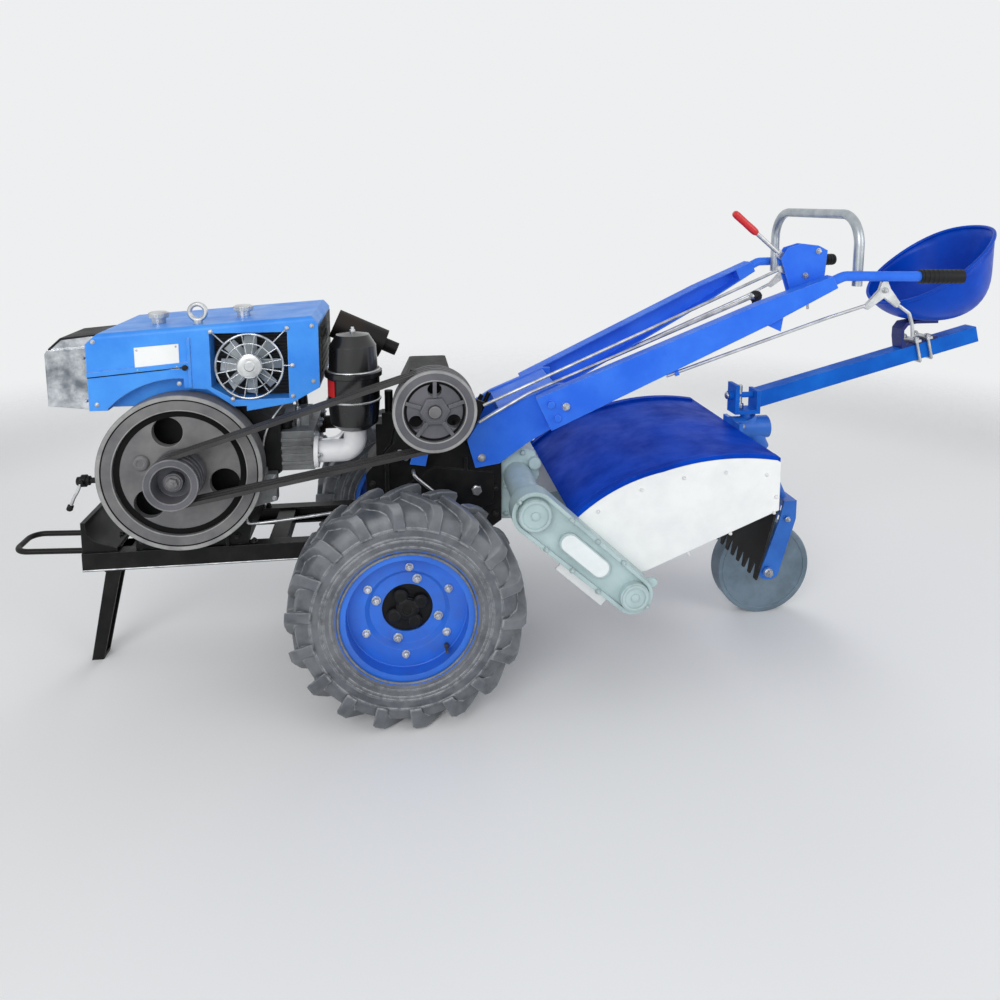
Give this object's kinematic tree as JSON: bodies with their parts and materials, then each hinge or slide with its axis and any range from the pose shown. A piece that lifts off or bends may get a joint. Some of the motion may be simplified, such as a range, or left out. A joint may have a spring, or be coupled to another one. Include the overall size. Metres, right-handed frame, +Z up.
{
  "type": "power tiller",
  "caption": "Two-wheel walking tractor with belt-driven diesel engine, long handlebars, side-driven rotary tiller, seat beam and tail wheel, parked on its front stand.",
  "frame": {"origin": "on the floor under the middle of the overall box", "axes": "-X towards the front, -Y towards the left side, +Z up"},
  "size_m": [2.994, 0.9574, 1.3177],
  "materials": {
    "blue_paint": "gloss",
    "black_paint": "satin",
    "cast_grey": "satin",
    "hub_black": "satin",
    "gear_green": "satin",
    "rubber_black": "matte",
    "tyre_rubber": "matte",
    "plated": "satin",
    "lamp_glass": "gloss",
    "lamp_chrome": "polished",
    "filter_black": "gloss",
    "elbow_white": "satin",
    "fan_grey": "satin",
    "panel_white": "gloss",
    "wheel_grey": "satin",
    "rotor_black": "satin",
    "lever_red": "gloss"
  },
  "bodies": {
    "chassis": {"air_filter": "filter_black", "beam_clamps": "plated", "bearing_arm": "gear_green", "clutch_lever": "lever_red", "comb_plate": "black_paint", "control_rods": "plated", "cylinder_head": "cast_grey", "drive_belts": "rubber_black", "engine_block": "black_paint", "fan_guard": "plated", "filler_caps": "plated", "frame_rails": "black_paint", "gear_arm": "gear_green", "gearbox": "black_paint", "hand_grips": "rubber_black", "handle_base": "blue_paint", "handlebar_left": "blue_paint", "handlebar_right": "blue_paint", "head_lamp": "lamp_chrome", "hitch_clevis": "blue_paint", "hood": "blue_paint", "hoop": "plated", "intake_elbow": "elbow_white", "lamp_glass": "lamp_glass", "lever_quadrant": "blue_paint", "lifting_eye": "plated", "muffler": "black_paint", "nose_plate": "black_paint", "radiator_core": "fan_grey", "seat_beam": "blue_paint", "seat_pan": "blue_paint", "seat_spring": "blue_paint", "side_panels": "panel_white", "stand_bracket": "black_paint", "steering_levers": "plated", "tail_fork": "blue_paint", "tail_sleeve": "blue_paint", "tiller_cover": "blue_paint", "tiller_input_case": "gear_green", "tow_loop": "plated"},
    "wheel_left": {"rim_left": "blue_paint", "tyre_left": "tyre_rubber", "hub_left": "hub_black"},
    "wheel_right": {"rim_right": "blue_paint", "tyre_right": "tyre_rubber", "hub_right": "hub_black"},
    "crank": {"flywheel": "cast_grey", "engine_pulley": "cast_grey"},
    "clutch_wheel": {"clutch_pulley": "cast_grey"},
    "cooling_fan": {"fan": "fan_grey"},
    "tine_rotor": {"rotor": "rotor_black"},
    "trailing_wheel": {"tail_wheel": "wheel_grey"},
    "stand_leg": {"front_stand": "black_paint"}
  },
  "joints": [
    {"name": "wheel_left_spin", "type": "hinge", "parent": "chassis", "child": "wheel_left", "pos_m": [-0.39114, -0.394, 0.306], "axis": [0, -1, 0], "continuous": true},
    {"name": "wheel_right_spin", "type": "hinge", "parent": "chassis", "child": "wheel_right", "pos_m": [-0.39114, 0.394, 0.306], "axis": [0, -1, 0], "continuous": true},
    {"name": "crank_spin", "type": "hinge", "parent": "chassis", "child": "crank", "pos_m": [-0.98414, -0.188, 0.624], "axis": [0, -1, 0], "continuous": true},
    {"name": "clutch_spin", "type": "hinge", "parent": "chassis", "child": "clutch_wheel", "pos_m": [-0.30914, -0.268, 0.792], "axis": [0, -1, 0], "continuous": true},
    {"name": "fan_spin", "type": "hinge", "parent": "chassis", "child": "cooling_fan", "pos_m": [-0.79814, -0.15, 0.904], "axis": [0, -1, 0], "continuous": true},
    {"name": "rotor_spin", "type": "hinge", "parent": "chassis", "child": "tine_rotor", "pos_m": [0.21486, 0, 0.287], "axis": [0, -1, 0], "continuous": true},
    {"name": "tail_wheel_spin", "type": "hinge", "parent": "chassis", "child": "trailing_wheel", "pos_m": [0.76586, 0, 0.155], "axis": [0, -1, 0], "continuous": true},
    {"name": "stand_fold", "type": "hinge", "parent": "chassis", "child": "stand_leg", "pos_m": [-1.23314, 0, 0.298], "axis": [0, -1, 0], "range_deg": [0, 96]}
  ],
  "couplings": [
    {"joint": "clutch_spin", "follows": "crank_spin", "ratio": 0.5959}
  ]
}
